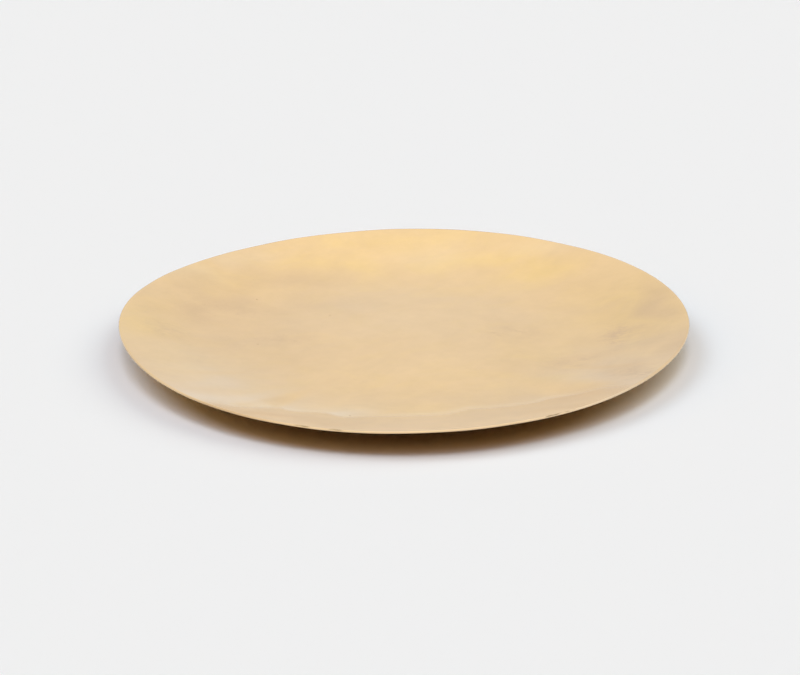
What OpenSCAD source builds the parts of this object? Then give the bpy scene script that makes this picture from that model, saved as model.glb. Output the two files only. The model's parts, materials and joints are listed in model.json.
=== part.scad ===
// Thali plate: a shallow round dish raised from one disc of sheet brass.
// The flat base runs into the wall on a tangent arc, so no line shows where one ends.
// The disc is trimmed to a plain upright edge, with both corners of the edge filed off.
// The origin is at the centre of the underside, on the resting plane, with +Z up.

/* [Plate] */
// Diameter over the trimmed edge
plate_d = 300; // [260:1:400]
// Height from the resting plane to the top of the edge
plate_h = 18; // [10:0.5:22]
// Diameter of the flat base
base_d = 136; // [80:1:160]

/* [Sheet] */
// Thickness of the brass sheet
sheet_t = 1.2; // [0.8:0.1:2]
// Width of the bevel filed on each corner of the edge
edge_bevel = 0.3; // [0.1:0.05:0.3]

/* [Hidden] */

$fn = 360;

plate_r = plate_d / 2;
base_r = base_d / 2;

// The inside of the wall meets the upper bevel at this radius, at the plate's full height
bevel_r = plate_r - edge_bevel;

// Radius of the wall's underside, an arc that leaves the flat base on a tangent.
// The arc inside it, one sheet thickness closer in, reaches plate_h at bevel_r.
under_r = (pow(bevel_r - base_r, 2) + pow(plate_h, 2) - pow(sheet_t, 2))
    / (2 * (plate_h - sheet_t));
inner_r = under_r - sheet_t;
// Both arcs are struck from a point straight above the rim of the flat base
wall_centre = [base_r, under_r];

// Height of the wall's underside at radius r
function under_z(r) = under_r - sqrt(pow(under_r, 2) - pow(r - base_r, 2));

// The lower bevel leaves the upright edge here and runs through the underside at bevel_r
lower_bevel_out = [plate_r, under_z(plate_r) + edge_bevel];
lower_bevel_in = [bevel_r, under_z(bevel_r)];
// The same line carried on, clear of the sheet
lower_bevel_past = 2 * lower_bevel_in - lower_bevel_out;

// The upper bevel, from clear above the sheet to the upright edge
upper_bevel_past = [plate_r - 2 * edge_bevel, plate_h + edge_bevel];
upper_bevel_out = [plate_r, plate_h - edge_bevel];

// Half section of the flat base
module base_section() {
    square([base_r, sheet_t]);
}

// Half section of the wall, cut off at the trimmed edge and its two bevels
module wall_section() {
    intersection() {
        difference() {
            translate(wall_centre) circle(r = under_r);
            translate(wall_centre) circle(r = inner_r);
        }
        polygon([
            [base_r, -sheet_t],
            [base_r, upper_bevel_past.y],
            upper_bevel_past,
            upper_bevel_out,
            lower_bevel_out,
            lower_bevel_past,
            [lower_bevel_past.x, -sheet_t]
        ]);
    }
}

// The plate, turned in one piece from its half section
module plate() {
    color([0.86, 0.69, 0.38])
        rotate_extrude() {
            base_section();
            wall_section();
        }
}

plate();
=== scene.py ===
"""Thali plate: a shallow dish raised by hand from one disc of sheet brass.

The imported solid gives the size. The mesh here adds what the hand leaves: a rim that waves slowly,
a crease across the near wall with a satin band beyond it, shallow planishing marks, an edge filed
by eye, and worn, cloudy brass.
"""
import json
import math

import bpy
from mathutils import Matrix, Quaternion, Vector, noise


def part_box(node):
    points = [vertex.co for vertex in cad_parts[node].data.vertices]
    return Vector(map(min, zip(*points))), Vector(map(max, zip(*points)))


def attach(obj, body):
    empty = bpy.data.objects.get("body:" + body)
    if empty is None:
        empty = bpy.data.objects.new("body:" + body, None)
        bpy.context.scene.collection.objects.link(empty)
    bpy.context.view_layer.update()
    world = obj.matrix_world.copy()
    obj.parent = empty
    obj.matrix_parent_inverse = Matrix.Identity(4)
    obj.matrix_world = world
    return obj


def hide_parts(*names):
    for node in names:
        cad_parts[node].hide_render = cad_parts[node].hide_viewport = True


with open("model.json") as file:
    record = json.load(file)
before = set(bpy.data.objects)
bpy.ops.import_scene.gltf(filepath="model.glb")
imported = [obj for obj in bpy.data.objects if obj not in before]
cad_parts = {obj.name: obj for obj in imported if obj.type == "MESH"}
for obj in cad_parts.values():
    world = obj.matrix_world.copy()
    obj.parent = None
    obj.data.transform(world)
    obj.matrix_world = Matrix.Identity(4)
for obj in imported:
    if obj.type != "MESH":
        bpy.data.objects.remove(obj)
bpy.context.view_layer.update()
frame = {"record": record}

MM = 0.001

# Sizes from the frame
low_corner, high_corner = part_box("plate")
PLATE_R = (high_corner[0] - low_corner[0]) / 2
PLATE_H = high_corner[2]
MOUNTS = {mount["name"]: mount for mount in frame["record"]["mounts"]}
SHEET_T = MOUNTS["well_floor"]["pos_m"][2]

# The dish: a flat base, a wall that steepens from it, and a steeper hammered band along the edge
BASE_R = 68 * MM
CREASE_R = 112.5 * MM
# The crease's circle lies a little towards the back
CREASE_BACK = 5.5 * MM
# The crease is sharp between two angles in front, and eases off within a few degrees
SHARP_FROM = 229
SHARP_TO = 321
SHARP_EASE = 9
# How soft the crease is and how much it steepens the wall, in general and where it is sharp
CREASE_SOFT = 7 * MM
SHARP_SOFT = 0.8 * MM
CREASE_STEP = 0.08
SHARP_STEP = 0.19
# How the crease wanders: the length of a turn, and how far it goes
CREASE_GRAIN = 14 * MM
CREASE_WANDER = 1.2 * MM

# The rim's slow wave: how many crests, how high, and where the first one is in degrees
RIM_WAVES = (
    (2, 1.6 * MM, 10),
    (3, 0.5 * MM, 72),
    (4, 0.4 * MM, 4),
)

# Places where a line strays from its circle: the angle, half the length in degrees, how far
RIM_STRAYS = (
    (352, 24, 0.7 * MM),
    (197, 24, -0.5 * MM),
)
CREASE_STRAYS = (
    (224, 15, 30 * MM),
    (233.5, 5.5, 22 * MM),
    (241, 9, 10 * MM),
    (254, 14, 4 * MM),
    (255, 4.5, 2.5 * MM),
    (288, 7, -3 * MM),
    (306, 12, 7 * MM),
    (320, 13, 26 * MM),
)

# Planishing marks: how far apart they lie and how deep they are
PLANISH_MARKS = (
    (90 * MM, 0.16 * MM),
    (45 * MM, 0.1 * MM),
    (26 * MM, 0.18 * MM),
)
# Each spacing takes its own layer of the noise, this much higher for each metre
PLANISH_LAYERS = 700
# On the underside the marks come in over this much of the wall
MARKS_FADE = (PLATE_R - BASE_R) / 2

# The lip: its roundings, its lean and the steps of each rounding
LIP_ROUND_ABOVE = 0.35 * MM
LIP_ROUND_BELOW = 0.6 * MM
LIP_LEAN = 0.2 * MM
LIP_STEPS = 4
# Where the lip's roundings start, above and below
INSIDE_R = PLATE_R - LIP_LEAN - LIP_ROUND_ABOVE
UNDERSIDE_R = PLATE_R - LIP_ROUND_BELOW

# The file's ripple along the lip: its length and depth, and how much the upper corner sinks with a bite
LIP_GRAIN = 5 * MM
LIP_RIPPLE = 0.12 * MM
BITE_SINK = 0.5
# Worn stretches of the edge: the angle, half the length in degrees, and the depth
LIP_NICKS = (
    (251.5, 2.2, 0.25 * MM),
    (258, 1.8, 0.35 * MM),
    (299, 5, 0.4 * MM),
)
# The grain of the wear and of the painted shade in it: the mean, and the swing about it
NICK_GRAIN = LIP_GRAIN / 2
NICK_MEAN = 0.6
NICK_SWING = 0.8
NICK_SHADE_MEAN = 0.2
NICK_SHADE_SWING = 1.6

# The mesh: points in the rim's ring and in the smallest, and the rings' spacings on wall and base
RIM_SEGMENTS = 1024
FEWEST_SEGMENTS = 16
INSIDE_SPACINGS = (1.2 * MM, 2.2 * MM)
UNDERSIDE_SPACINGS = (2.4 * MM, 3 * MM)
# Where the wall's spacing begins
FINE_FROM = 96 * MM
# A ring halves its points where faces would be deeper than this against their width
DEEPEST_FACE = 1.4

# The bake map: the two discs' centres, along its diagonal, and their radius
INSIDE_DISC = 0.2929
UNDERSIDE_DISC = 0.7071
DISC_R = 0.285

# Soft marks on the inside, in millimetres: how far across and back, half width, half depth, amount
WARM_SPOTS = (
    (-43, 107, 30, 14, 0.55),
    (45, 110, 40, 12, 0.7),
    (78, 91, 24, 14, 0.8),
    (-101, 75, 25, 18, 0.5),
    (0, 135, 70, 14, 0.5),
    (11, -58, 50, 26, 0.1),
    (70, -60, 22, 14, 0.5),
    (0, -100, 45, 14, 0.3),
    (74, -29, 26, 22, 0.4),
    (126, 8, 34, 50, 0.9),
    (-138, -5, 18, 32, 0.6),
    (-112, -45, 24, 22, 0.3),
)
SMUDGES = (
    (-101, 34, 24, 13, 0.2),
    (-126, -9, 13, 11, 0.3),
    (-67, -1, 20, 10, 0.22),
    (113, -12, 10, 16, 0.45),
    (88, -39, 15, 9, 0.4),
    (116, -78, 12, 12, 0.5),
    (58, 8, 16, 9, 0.3),
)
DULL_SPOTS = (
    (-88, 15, 46, 50, 0.36),
    (-98, 50, 28, 20, 0.65),
    (-72, 44, 18, 14, 0.45),
    (-88, 78, 18, 12, 0.5),
    (-113, 25, 24, 16, 0.5),
    (-98, 66, 24, 14, 0.55),
    (-66, 86, 34, 16, 0.45),
    (-58, 54, 26, 20, 0.35),
    (-35, 50, 24, 18, 0.25),
    (115, -15, 52, 75, 0.4),
    (140, -50, 16, 34, 0.7),
    (138, 15, 14, 34, 0.8),
    (112, -62, 22, 22, 0.62),
    (131, -31, 16, 18, 0.65),
    (108, -30, 18, 16, 0.5),
    (94, -94, 34, 18, 0.45),
    (-70, -122, 24, 8, 0.35),
    (-42, -128, 22, 8, 0.2),
    (80, -118, 20, 10, 0.3),
    (75, 100, 34, 26, 0.1),
)
# Pale spots; the ones on the near wall at the front left, just inside the crease, are painted highlight
PALE_SPOTS_AND_HIGHLIGHTS = (
    (-2, 25, 40, 22, 0.08),
    (-26, 49, 20, 13, 0.11),
    (22, 118, 22, 18, 0.17),
    (-95, 105, 20, 12, 0.2),
    (-122, 80, 16, 14, 0.2),
    (85, 115, 22, 12, 0.14),
    (-97, -64, 20, 26, 0.2),
    (-92, -106, 24, 14, 0.5),
    (-48, -100, 30, 10, 0.6),
    (-68, -104, 18, 8, 0.8),
    (-74, -112, 18, 10, 0.9),
    (-34, -103, 20, 7, 0.85),
    (80, -95, 20, 10, 0.25),
)
# The marks' outlines waver: how far, over what length, and where the second of the two noises is taken
SPOT_WAVER = 9 * MM
SPOT_GRAIN = 22 * MM
SECOND_NOISE = Vector((7, 3, 5))

# The satin film comes in over this much of the wall before the crease
SATIN_EASE = 2 * MM
# A painted highlight, pale colour that stands in for a reflection, runs along the crease's inner side:
# its width and amount
CREASE_HIGHLIGHT_WIDTH = 9 * MM
CREASE_HIGHLIGHT = 0.36

# The lip is a little pale and dull, with duller places and a painted highlight on its right front
LIP_PALE = 0.34
LIP_DULL = 0.25
DULL_LIP = (
    (-82, -124, 42, 26, 1),
    (-135, -60, 25, 45, 0.5),
)
LIP_HIGHLIGHT = (
    (98, -112, 70, 45, 0.75),
)

# The underside's patina is worn off in places
WORN_UNDERSIDE = (
    (127, -42, 56, 72, 1),
    (-124, -50, 45, 62, 0.7),
)

# Specks in the metal: how far across and back, in millimetres
SPECKS = (
    (-82, 57.3),
    (-40.3, 36.5),
    (-77.1, -6.8),
    (-25.9, -106.1),
)
SPECK_R = 0.6 * MM
SPECK_CORE_R = SPECK_R / 2
SPECK_SHARE = 0.5

# Tones of the brass
BRASS = (0.81, 0.573, 0.308, 1)
WARM_BRASS = (0.85, 0.6, 0.25, 1)
SMUDGED_BRASS = (0.66, 0.457, 0.258, 1)
PALE_BRASS = (0.86, 0.7, 0.5, 1)
SATIN_BRASS = (0.76, 0.67, 0.54, 1)
BROWN_PATINA = (0.37, 0.167, 0.03, 1)
# Painted shade for the lip's nicks
NICK_SHADE_COLOUR = (0.2, 0.14, 0.08, 1)
SATIN_SHARE = 0.4
SCRATCH_SHARE = 0.14

# Patterns in the brass: turn in degrees, how much narrower than long, size of a mark, detail and warp
CLOUDS = (0, 1, 55 * MM, 4, 0.8)
MOTTLE = (0, 1, 12 * MM, 5, 0)
STREAKS = (12, 1.2, 11 * MM, 4, 0.5)
FLECKS = (20, 1.6, 6 * MM, 3, 0.8)
DRIFT = (-20, 1.6, 30 * MM, 5, 1.2)
HAIRLINES = (
    (8, 70, 25 * MM, 3, 0),
    (67, 70, 25 * MM, 3, 0),
    (131, 70, 25 * MM, 3, 0),
)
PATTERN_ROUGHNESS = 0.6

# How the patterns are read: from a low and a high value, to what those stand for
CLOUD_WARMTH = (0.3, 0.7, 0.6, 1.2)
DRIFT_WARMTH = (0.45, 0.75, 0, 0.3)
STREAK_SMUDGE = (0.36, 0.68, 0, 1.3)
FLECK_SMUDGE = (0.54, 0.62, 0, 0.7)
HAIRLINE_SHARE = (0.66, 0.72, 0, 1)
CLOUD_TONE = (0.3, 0.7, 0.965, 1.03)
MOTTLE_TONE = (0.3, 0.7, 0.975, 1.02)
MOTTLE_ROUGHNESS = (0.3, 0.7, 0.07, 0.12)

# What smudges, patina and satin add to the roughness
SMUDGE_ROUGHNESS = 0.08
PATINA_ROUGHNESS = 0.15
SATIN_ROUGHNESS = 0.4

# The fine relief of the brass: its strength and height, and the scratches' depth against the mottle
BUMP_STRENGTH = 0.08
BUMP_HEIGHT = 0.1 * MM
SCRATCH_DEPTH = 0.3

# The photograph's camera
LENS_MM = 85
CAMERA_AT = Vector((0, -939.6, 366.7)) * MM
CAMERA_AIM = Vector((-1.7, 5.2, 0)) * MM
CAMERA_ROLL = math.radians(-0.51)

# The floor
FLOOR_COLOUR = (0.871, 0.871, 0.871, 1)
FLOOR_SIZE = 12

# The backdrop's tone by height: 0 is level with the floor and 1 is overhead
BACKDROP_TONES = (
    (0, 0.871),
    (0.13, 0.885),
    (0.3, 0.93),
    (0.44, 0.99),
    (0.6, 1.06),
    (0.76, 1.14),
    (0.9, 1.16),
)
# The mirrored backdrop's level, from the middle to the sides and from the front to the back
SIDE_LEVELS = (0.04, 0.14, 1.02, 0.975)
FRONT_LEVELS = (-0.5, 0.1, 1.12, 1)

# The lamps over the floor: lean sideways and to the back in degrees, width, and share of the light.
# The low ones are warm and the others a little cool, and together they make a plain white.
LAMPS = (
    ("key", 0, -17, 20, (0.175, 0.19, 0.21)),
    ("key_front", 0, -24, 30, (0.1, 0.105, 0.13)),
    ("key_right", 28, -20, 30, (0.05, 0.05, 0.05)),
    ("right_softbox", 40, 18, 50, (0.225, 0.25, 0.24)),
    ("left_softbox", -33, 0, 38, (0.25, 0.285, 0.32)),
    ("low_front", 0, -45, 30, (0.09, 0.06, 0.035)),
    ("low_left", -60, -10, 40, (0.075, 0.045, 0.015)),
    ("low_right", 60, -10, 40, (0.035, 0.015, 0)),
)


def smooth_step(value):
    """Eases from 0 to 1 as the value goes from 0 to 1."""
    value = min(max(value, 0), 1)
    return value * value * (3 - 2 * value)


def rim_wave(angle):
    """Height of the rim's wave at an angle, about its mean."""
    return sum(
        height * math.cos(count * (angle - math.radians(crest)))
        for count, height, crest in RIM_WAVES
    )


RIM_MEAN = PLATE_H - max(rim_wave(math.radians(step)) for step in range(360))


def strays(places, angle):
    """How far a line strays at an angle."""
    total = 0
    for middle, half, amount in places:
        away = abs((math.degrees(angle) - middle + 180) % 360 - 180) / half
        total += amount * (1 - smooth_step(away))
    return total


def crease_radius(angle):
    """Where the steeper band along the edge begins."""
    along = Vector((math.cos(angle), math.sin(angle), 0)) * CREASE_R
    wander = CREASE_WANDER * noise.noise(along / CREASE_GRAIN)
    return CREASE_R + CREASE_BACK * math.sin(angle) + strays(CREASE_STRAYS, angle) + wander


def sharp_share(angle):
    """How much of the crease's sharpness shows at an angle, from 0 to 1."""
    degrees = math.degrees(angle)
    easing_in = smooth_step((degrees - SHARP_FROM) / SHARP_EASE)
    easing_out = smooth_step((SHARP_TO - degrees) / SHARP_EASE)
    return easing_in * easing_out


def wall_rise(radius, angle):
    """Height that the wall has gained at a point: a bend from the base out, steeper past the crease."""
    sharp = sharp_share(angle)
    step = CREASE_STEP + (SHARP_STEP - CREASE_STEP) * sharp
    soft = CREASE_SOFT + (SHARP_SOFT - CREASE_SOFT) * sharp
    crease = crease_radius(angle)
    run = min(crease, CREASE_R) - BASE_R

    def bend(at):
        inner = min(max(at - BASE_R, 0), run)
        return inner * inner / (2 * run) + max(at - BASE_R - run, 0)

    def steepened(at):
        past = at - crease
        return (past + math.hypot(past, soft)) / 2

    rim_rise = RIM_MEAN + rim_wave(angle) - SHEET_T
    start = steepened(0)
    slope = (rim_rise - step * (steepened(PLATE_R) - start)) / bend(PLATE_R)
    return slope * bend(radius) + step * (steepened(radius) - start)


def planishing(radius, angle):
    """Height of the hammer's shallow marks at a point of the dish."""
    place = Vector((radius * math.cos(angle), radius * math.sin(angle), 0))
    return sum(
        depth * noise.noise(place / spacing + Vector((0, 0, spacing * PLANISH_LAYERS)))
        for spacing, depth in PLANISH_MARKS
    )


def inside_height(radius, angle):
    """Height of the dish's inside."""
    return SHEET_T + wall_rise(radius, angle) + planishing(radius, angle)


def underside_height(radius, angle):
    """Height of the dish's underside, which stays flat where the plate rests."""
    marks_shown = smooth_step((radius - BASE_R) / MARKS_FADE)
    return wall_rise(radius, angle) + marks_shown * planishing(radius, angle)


def ring_plan(outer_r, wall_spacing, base_spacing):
    """Radii and segment counts of rings from the outside in; counts halve towards the centre."""
    rings = []
    radius = outer_r
    segments = RIM_SEGMENTS
    while radius > base_spacing:
        rings.append((radius, segments))
        spacing = wall_spacing if radius > FINE_FROM else base_spacing
        radius -= spacing
        if segments > FEWEST_SEGMENTS and segments * spacing > 2 * math.pi * radius * DEEPEST_FACE:
            segments //= 2
    return rings


class DishMesh:
    """Gathers the points and faces of a closed dish."""

    def __init__(self):
        self.points = []
        self.faces = []

    def add_ring(self, segments, point_at):
        """Adds a ring of points and returns their numbers."""
        first = len(self.points)
        for step in range(segments):
            self.points.append(point_at(2 * math.pi * step / segments))
        return list(range(first, first + segments))

    def bridge(self, outer, inner):
        """Joins a ring to the next one in, which has as many points or half as many."""
        count = len(inner)
        for step in range(count):
            after = (step + 1) % count
            if len(outer) == count:
                self.faces.append((outer[step], outer[after], inner[after], inner[step]))
            else:
                first = outer[2 * step]
                middle = outer[2 * step + 1]
                last = outer[(2 * step + 2) % len(outer)]
                self.faces.append((first, middle, inner[step]))
                self.faces.append((middle, inner[after], inner[step]))
                self.faces.append((middle, last, inner[after]))

    def close(self, ring, centre):
        """Closes a ring with a fan to its centre."""
        hub = len(self.points)
        self.points.append(centre)
        for step in range(len(ring)):
            self.faces.append((ring[step], ring[(step + 1) % len(ring)], hub))


def nick_share(angle):
    """How worn the edge is at an angle, from 0 to 1, and the depth of that wear."""
    worn = 0
    deep = 0
    for middle, half, depth in LIP_NICKS:
        away = abs(math.degrees(angle) - middle) / half
        share = 1 - smooth_step(away)
        worn = max(worn, share)
        deep = max(deep, share * depth)
    return worn, deep


def lip_bite(angle):
    """How much the file and wear have taken off the edge at an angle."""
    along = Vector((math.cos(angle), math.sin(angle), 0)) * PLATE_R
    ripple = LIP_RIPPLE * (0.5 + 0.5 * noise.noise(along / LIP_GRAIN))
    _, deep = nick_share(angle)
    rough = NICK_MEAN + NICK_SWING * noise.noise(along / NICK_GRAIN)
    return ripple + deep * max(rough, 0)


def strayed(radius, angle):
    """A radius moved in or out with the edge, less and less towards the base."""
    reach = max(radius - BASE_R, 0) / (PLATE_R - BASE_R)
    return radius + strays(RIM_STRAYS, angle) * reach * reach


def point_on(radius, angle, height):
    """A point of the dish."""
    out = strayed(radius, angle)
    return (out * math.cos(angle), out * math.sin(angle), height)


def at_height(radius, height_at):
    """A function from an angle to the point of a surface at one radius."""
    return lambda angle: point_on(radius, angle, height_at(radius, angle))


def lip_point(turn, corner):
    """A function from an angle to a point on the lip; corner is 1 above the edge and -1 below."""
    def point_at(angle):
        bite = lip_bite(angle) * math.cos(turn)
        rounding = LIP_ROUND_ABOVE if corner > 0 else LIP_ROUND_BELOW
        out = rounding * math.cos(turn) - bite
        drop = rounding * (1 - math.sin(turn))
        if corner > 0:
            radius = INSIDE_R + out
            height = inside_height(INSIDE_R, angle) - drop - BITE_SINK * bite
        else:
            radius = UNDERSIDE_R + out
            height = underside_height(UNDERSIDE_R, angle) + drop
        return point_on(radius, angle, height)
    return point_at


def add_surface(dish, outer_ring, outer_r, spacings, height_at):
    """Adds one face of the sheet, from a given outer ring to the centre."""
    last = outer_ring
    for radius, segments in ring_plan(outer_r, *spacings)[1:]:
        ring = dish.add_ring(segments, at_height(radius, height_at))
        dish.bridge(last, ring)
        last = ring
    dish.close(last, (0, 0, height_at(0, 0)))


def soft_spots(spots, x, y):
    """How strongly a set of soft marks shows at a place on the dish."""
    place = Vector((x, y, 0)) / SPOT_GRAIN
    x_wavered = x + SPOT_WAVER * noise.noise(place)
    y_wavered = y + SPOT_WAVER * noise.noise(place + SECOND_NOISE)
    shown = 0
    for across, back, half_width, half_depth, amount in spots:
        u = (x_wavered - across * MM) / (half_width * MM)
        v = (y_wavered - back * MM) / (half_depth * MM)
        shown = max(shown, amount * math.exp(-(u * u + v * v)))
    return shown


def inside_wear_and_highlights(x, y, angle):
    """Marks and film at a place on the inside, with painted highlights in the pale share."""
    sharp = sharp_share(angle)
    past = math.hypot(x, y) - crease_radius(angle)
    satin = sharp * smooth_step(past / SATIN_EASE + 1)
    # Painted highlight: pale colour along the crease's inner side, standing in for a reflection
    crease_highlight = CREASE_HIGHLIGHT * sharp * smooth_step(past / CREASE_HIGHLIGHT_WIDTH + 1)
    pale = max(soft_spots(PALE_SPOTS_AND_HIGHLIGHTS, x, y), crease_highlight) * (1 - satin)
    marks = (soft_spots(WARM_SPOTS, x, y), soft_spots(SMUDGES, x, y), pale)
    return marks, (0, soft_spots(DULL_SPOTS, x, y), satin)


def lip_wear_and_highlight(x, y):
    """Marks and film at a place on the lip, with a painted highlight on its right front."""
    dull = soft_spots(DULL_LIP, x, y)
    # Painted highlight: the lip is paler on its right front
    pale = max(LIP_PALE * (1 - dull), soft_spots(LIP_HIGHLIGHT, x, y))
    return (0, 0, pale), (0, max(LIP_DULL, dull), 0)


def underside_wear(x, y):
    """Marks and film at a place on the underside."""
    return (0, 0, 0), (1 - soft_spots(WORN_UNDERSIDE, x, y), 0, 0)


def lip_nick_shade(place, angle):
    """How dark the lip is painted at a place: painted shade sits only in the nicks of its upper half.
    """
    if place.z <= inside_height(INSIDE_R, angle) - SHEET_T / 2:
        return 0
    worn, _ = nick_share(angle)
    shade_amount = NICK_SHADE_MEAN + NICK_SHADE_SWING * noise.noise(place / NICK_GRAIN)
    return max(worn * shade_amount, 0)


def add_marks_and_painted_light(mesh, inside_points, lip_points):
    """Stores each point's marks (warm, smudged, pale, the pale with painted highlights), film (patina,
    dull, satin) and painted shade in the lip's nicks.
    """
    mesh.attributes.new("marks", "FLOAT_VECTOR", "POINT")
    mesh.attributes.new("film", "FLOAT_VECTOR", "POINT")
    mesh.attributes.new("nick_shade", "FLOAT", "POINT")
    marks = mesh.attributes["marks"]
    film = mesh.attributes["film"]
    nick_shade = mesh.attributes["nick_shade"]
    for number, vertex in enumerate(mesh.vertices):
        x, y, _ = vertex.co
        angle = math.atan2(y, x) % (2 * math.pi)
        if number < inside_points:
            wear = inside_wear_and_highlights(x, y, angle)
        elif number < lip_points:
            wear = lip_wear_and_highlight(x, y)
            nick_shade.data[number].value = lip_nick_shade(vertex.co, angle)
        else:
            wear = underside_wear(x, y)
        marks.data[number].vector, film.data[number].vector = wear


def add_bake_map(mesh, inside_faces):
    """Lays the inside and the underside out flat, as two discs in opposite corners."""
    layout = mesh.uv_layers.new(name="OFBake")
    for number, face in enumerate(mesh.polygons):
        middle = INSIDE_DISC if number < inside_faces else UNDERSIDE_DISC
        for loop in face.loop_indices:
            x, y, _ = mesh.vertices[mesh.loops[loop].vertex_index].co
            layout.data[loop].uv = (middle + DISC_R * x / PLATE_R, middle + DISC_R * y / PLATE_R)


def build_plate():
    """The plate as one closed mesh."""
    dish = DishMesh()
    inside_edge = dish.add_ring(RIM_SEGMENTS, at_height(INSIDE_R, inside_height))
    add_surface(dish, inside_edge, INSIDE_R, INSIDE_SPACINGS, inside_height)
    inside_points = len(dish.points)
    inside_faces = len(dish.faces)

    last = inside_edge
    for corner, steps in ((1, range(LIP_STEPS - 1, -1, -1)), (-1, range(LIP_STEPS))):
        for step in steps:
            turn = step * math.pi / 2 / LIP_STEPS
            ring = dish.add_ring(RIM_SEGMENTS, lip_point(turn, corner))
            dish.bridge(last, ring)
            last = ring
    lip_points = len(dish.points)
    under_edge = dish.add_ring(RIM_SEGMENTS, at_height(UNDERSIDE_R, underside_height))
    dish.bridge(last, under_edge)
    add_surface(dish, under_edge, UNDERSIDE_R, UNDERSIDE_SPACINGS, underside_height)
    # The inside faces up, and everything after it faces out and down
    dish.faces[inside_faces:] = [face[::-1] for face in dish.faces[inside_faces:]]

    mesh = bpy.data.meshes.new("brass_plate")
    mesh.from_pydata(dish.points, [], dish.faces)
    mesh.validate()
    mesh.polygons.foreach_set("use_smooth", [True] * len(mesh.polygons))
    add_marks_and_painted_light(mesh, inside_points, lip_points)
    add_bake_map(mesh, inside_faces)
    plate = bpy.data.objects.new("brass_plate", mesh)
    bpy.context.collection.objects.link(plate)
    return plate


class NodeTree:
    """Adds nodes to a material or world; an input is a socket to link or a value to set."""

    def __init__(self, owner):
        owner.use_nodes = True
        self.nodes = owner.node_tree.nodes
        self.links = owner.node_tree.links

    def feed(self, socket, value):
        """Links a socket to an output, or sets its value."""
        if isinstance(value, bpy.types.NodeSocket):
            self.links.new(value, socket)
        else:
            socket.default_value = value

    def math(self, operation, first, second):
        """A sum, product or the like of two numbers."""
        node = self.nodes.new("ShaderNodeMath")
        node.operation = operation
        self.feed(node.inputs[0], first)
        self.feed(node.inputs[1], second)
        return node.outputs[0]

    def mix(self, share, first, second, blend="MIX"):
        """A mix of two colours."""
        node = self.nodes.new("ShaderNodeMix")
        node.data_type = "RGBA"
        node.blend_type = blend
        self.feed(node.inputs["Factor"], share)
        self.feed(node.inputs[6], first)
        self.feed(node.inputs[7], second)
        return node.outputs[2]

    def spread(self, value, from_low, from_high, to_low, to_high):
        """A number carried from one range to another."""
        node = self.nodes.new("ShaderNodeMapRange")
        self.feed(node.inputs["Value"], value)
        self.feed(node.inputs["From Min"], from_low)
        self.feed(node.inputs["From Max"], from_high)
        self.feed(node.inputs["To Min"], to_low)
        self.feed(node.inputs["To Max"], to_high)
        return node.outputs[0]

    def stretch(self, place, turn, scale):
        """A place turned about the plate's axis, then scaled along each axis."""
        turned = self.nodes.new("ShaderNodeMapping")
        turned.inputs["Rotation"].default_value = (0, 0, math.radians(turn))
        self.feed(turned.inputs["Vector"], place)
        scaled = self.nodes.new("ShaderNodeMapping")
        scaled.inputs["Scale"].default_value = scale
        self.feed(scaled.inputs["Vector"], turned.outputs[0])
        return scaled.outputs[0]

    def attribute(self, name):
        """The three numbers that the mesh stores under a name."""
        node = self.nodes.new("ShaderNodeAttribute")
        node.attribute_name = name
        split = self.nodes.new("ShaderNodeSeparateXYZ")
        self.feed(split.inputs[0], node.outputs["Vector"])
        return split.outputs

    def pattern(self, place, turn, narrow, size, detail, warp):
        """Cloudy noise with marks of about the given size in metres, turned and narrowed."""
        node = self.nodes.new("ShaderNodeTexNoise")
        self.feed(node.inputs["Vector"], self.stretch(place, turn, (1, narrow, 1)))
        node.inputs["Scale"].default_value = 1 / size
        node.inputs["Detail"].default_value = detail
        node.inputs["Roughness"].default_value = PATTERN_ROUGHNESS
        node.inputs["Distortion"].default_value = warp
        return node.outputs["Fac"]

    def speck(self, place, across, back):
        """How much a round speck shows, from its share at the core to 0 at its edge."""
        away = self.nodes.new("ShaderNodeVectorMath")
        away.operation = "DISTANCE"
        self.feed(away.inputs[0], self.stretch(place, 0, (1, 1, 0)))
        away.inputs[1].default_value = (across * MM, back * MM, 0)
        return self.spread(away.outputs["Value"], SPECK_CORE_R, SPECK_R, SPECK_SHARE, 0)


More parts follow.
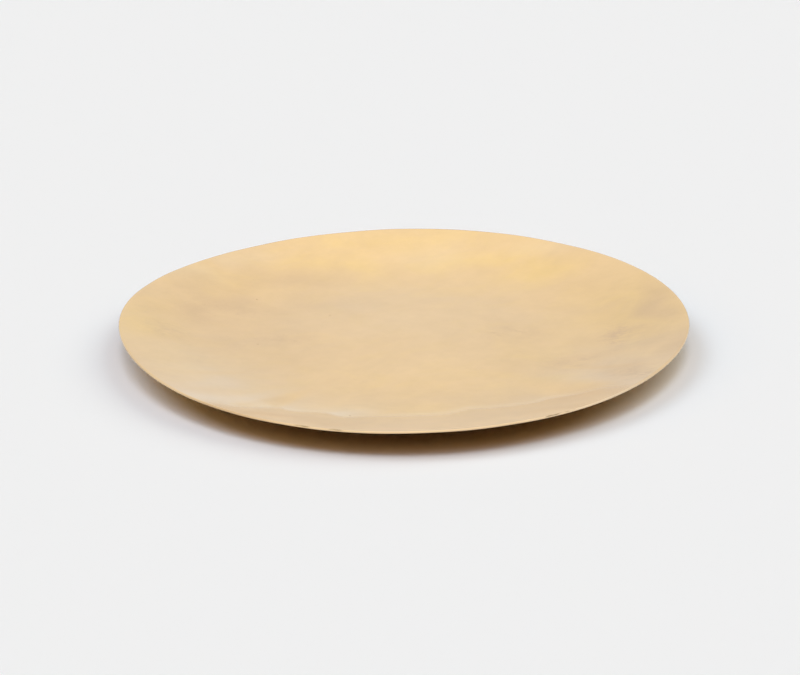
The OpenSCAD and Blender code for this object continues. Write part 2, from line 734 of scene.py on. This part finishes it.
def brass_material():
    """Worn, hand-polished brass, with painted highlights along the crease and the lip and painted shade
    in the lip's nicks.
    """
    material = bpy.data.materials.new("worn_brass")
    tree = NodeTree(material)
    shader = tree.nodes["Principled BSDF"]
    place = tree.nodes.new("ShaderNodeTexCoord").outputs["Object"]
    warm, smudged, pale = tree.attribute("marks")
    patina, dull, satin = tree.attribute("film")
    # Painted shade in the lip's nicks
    nick_shade = tree.attribute("nick_shade")[0]

    clouds = tree.pattern(place, *CLOUDS)
    mottle = tree.pattern(place, *MOTTLE)
    streaks = tree.pattern(place, *STREAKS)
    flecks = tree.pattern(place, *FLECKS)
    drift = tree.pattern(place, *DRIFT)
    scratches = 0
    for hairline in HAIRLINES:
        scratch = tree.spread(tree.pattern(place, *hairline), *HAIRLINE_SHARE)
        scratches = tree.math("MAXIMUM", scratches, scratch)

    warm_share = tree.math("MULTIPLY", warm, tree.spread(clouds, *CLOUD_WARMTH))
    warm_share = tree.math("ADD", warm_share, tree.spread(drift, *DRIFT_WARMTH))
    streak_share = tree.math("MULTIPLY", smudged, tree.spread(streaks, *STREAK_SMUDGE))
    fleck_share = tree.math("MULTIPLY", smudged, tree.spread(flecks, *FLECK_SMUDGE))
    smudge_share = tree.math("ADD", tree.math("ADD", streak_share, fleck_share), dull)

    layers = [
        (warm_share, WARM_BRASS),
        (tree.math("MULTIPLY", satin, SATIN_SHARE), SATIN_BRASS),
        (smudge_share, SMUDGED_BRASS),
        # The pale share holds painted highlights along the crease and the lip as well as pale marks
        (pale, PALE_BRASS),
        (tree.math("MULTIPLY", scratches, SCRATCH_SHARE), PALE_BRASS),
    ]
    layers += [(tree.speck(place, across, back), BROWN_PATINA) for across, back in SPECKS]
    # The last layer is painted shade in the lip's nicks
    layers += [(patina, BROWN_PATINA), (nick_shade, NICK_SHADE_COLOUR)]
    colour = BRASS
    for share, layer in layers:
        colour = tree.mix(share, colour, layer)
    tone = tree.math("MULTIPLY", tree.spread(clouds, *CLOUD_TONE), tree.spread(mottle, *MOTTLE_TONE))
    colour = tree.mix(1, colour, tone, "MULTIPLY")

    rough = tree.spread(mottle, *MOTTLE_ROUGHNESS)
    for share, added in (
        (smudge_share, SMUDGE_ROUGHNESS),
        (patina, PATINA_ROUGHNESS),
        (satin, SATIN_ROUGHNESS),
    ):
        rough = tree.math("ADD", rough, tree.math("MULTIPLY", share, added))

    relief = tree.math("SUBTRACT", mottle, tree.math("MULTIPLY", scratches, SCRATCH_DEPTH))
    bump = tree.nodes.new("ShaderNodeBump")
    bump.inputs["Strength"].default_value = BUMP_STRENGTH
    bump.inputs["Distance"].default_value = BUMP_HEIGHT
    tree.feed(bump.inputs["Height"], relief)

    shader.inputs["Metallic"].default_value = 1
    tree.feed(shader.inputs["Base Color"], colour)
    tree.feed(shader.inputs["Roughness"], rough)
    tree.feed(shader.inputs["Normal"], bump.outputs[0])
    return material


def floor_material():
    """Plain pale paper."""
    material = bpy.data.materials.new("pale_floor")
    material.use_nodes = True
    shader = material.node_tree.nodes["Principled BSDF"]
    shader.inputs["Base Color"].default_value = FLOOR_COLOUR
    shader.inputs["Roughness"].default_value = 1
    shader.inputs["Specular IOR Level"].default_value = 0
    return material


def build_floor():
    """The floor that the plate stands on."""
    half = FLOOR_SIZE / 2
    corners = [(-half, -half, 0), (half, -half, 0), (half, half, 0), (-half, half, 0)]
    mesh = bpy.data.meshes.new("floor")
    mesh.from_pydata(corners, [], [(0, 1, 2, 3)])
    floor = bpy.data.objects.new("floor", mesh)
    floor.data.materials.append(floor_material())
    bpy.context.collection.objects.link(floor)
    return floor


def build_camera():
    """The photograph's camera."""
    data = bpy.data.cameras.new("camera")
    data.lens = LENS_MM
    camera = bpy.data.objects.new("camera", data)
    camera.location = CAMERA_AT
    aim = (CAMERA_AIM - CAMERA_AT).to_track_quat("-Z", "Y")
    camera.rotation_mode = "QUATERNION"
    camera.rotation_quaternion = aim @ Quaternion((0, 0, 1), CAMERA_ROLL)
    bpy.context.collection.objects.link(camera)
    bpy.context.scene.camera = camera


def grey(tone):
    """A grey of the given tone."""
    return (tone, tone, tone, 1)


def build_world():
    """A pale studio's backdrop, which is seen and mirrored but leaves the floor to the lamps."""
    world = bpy.data.worlds.new("studio")
    bpy.context.scene.world = world
    tree = NodeTree(world)
    tree.nodes.clear()
    rays = tree.nodes.new("ShaderNodeLightPath").outputs
    mirrored = tree.math("MAXIMUM", rays["Is Glossy Ray"], rays["Is Transmission Ray"])
    before_floor = tree.math("LESS_THAN", rays["Diffuse Depth"], 0.5)

    split = tree.nodes.new("ShaderNodeSeparateXYZ")
    tree.feed(split.inputs[0], tree.nodes.new("ShaderNodeTexCoord").outputs["Generated"])
    across, back, up = split.outputs
    rise = tree.nodes.new("ShaderNodeValToRGB")
    tree.feed(rise.inputs["Fac"], up)
    rise.color_ramp.elements[0].color = grey(BACKDROP_TONES[0][1])
    rise.color_ramp.elements[1].position = BACKDROP_TONES[-1][0]
    rise.color_ramp.elements[1].color = grey(BACKDROP_TONES[-1][1])
    for height, tone in BACKDROP_TONES[1:-1]:
        rise.color_ramp.elements.new(height).color = grey(tone)

    side = tree.spread(tree.math("ABSOLUTE", across, 0), *SIDE_LEVELS)
    front = tree.spread(back, *FRONT_LEVELS)
    mirrored_level = tree.math("MULTIPLY", tree.math("MULTIPLY", side, front), mirrored)
    level = tree.math("ADD", mirrored_level, rays["Is Camera Ray"])
    backdrop = tree.nodes.new("ShaderNodeBackground")
    tree.feed(backdrop.inputs["Color"], rise.outputs["Color"])
    tree.feed(backdrop.inputs["Strength"], tree.math("MULTIPLY", level, before_floor))
    output = tree.nodes.new("ShaderNodeOutputWorld")
    tree.feed(output.inputs["Surface"], backdrop.outputs[0])


def add_lamp(name, tilt_x, tilt_y, width, share):
    """A wide soft lamp far overhead, which gives its share of the light on the floor."""
    lean_x = math.tan(math.radians(tilt_x))
    lean_y = math.tan(math.radians(tilt_y))
    source = Vector((lean_x, lean_y, 1)).normalized()
    data = bpy.data.lights.new(name, "SUN")
    data.energy = math.pi / source.z
    data.color = share
    data.angle = math.radians(width)
    lamp = bpy.data.objects.new(name, data)
    lamp.visible_glossy = False
    lamp.rotation_mode = "QUATERNION"
    lamp.rotation_quaternion = source.to_track_quat("Z", "Y")
    bpy.context.collection.objects.link(lamp)


bpy.context.scene.view_settings.view_transform = "Standard"
build_camera()
floor = build_floor()
build_world()
for lamp in LAMPS:
    add_lamp(*lamp)

plate = build_plate()
plate.data.materials.append(brass_material())
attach(plate, "root")
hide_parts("plate")
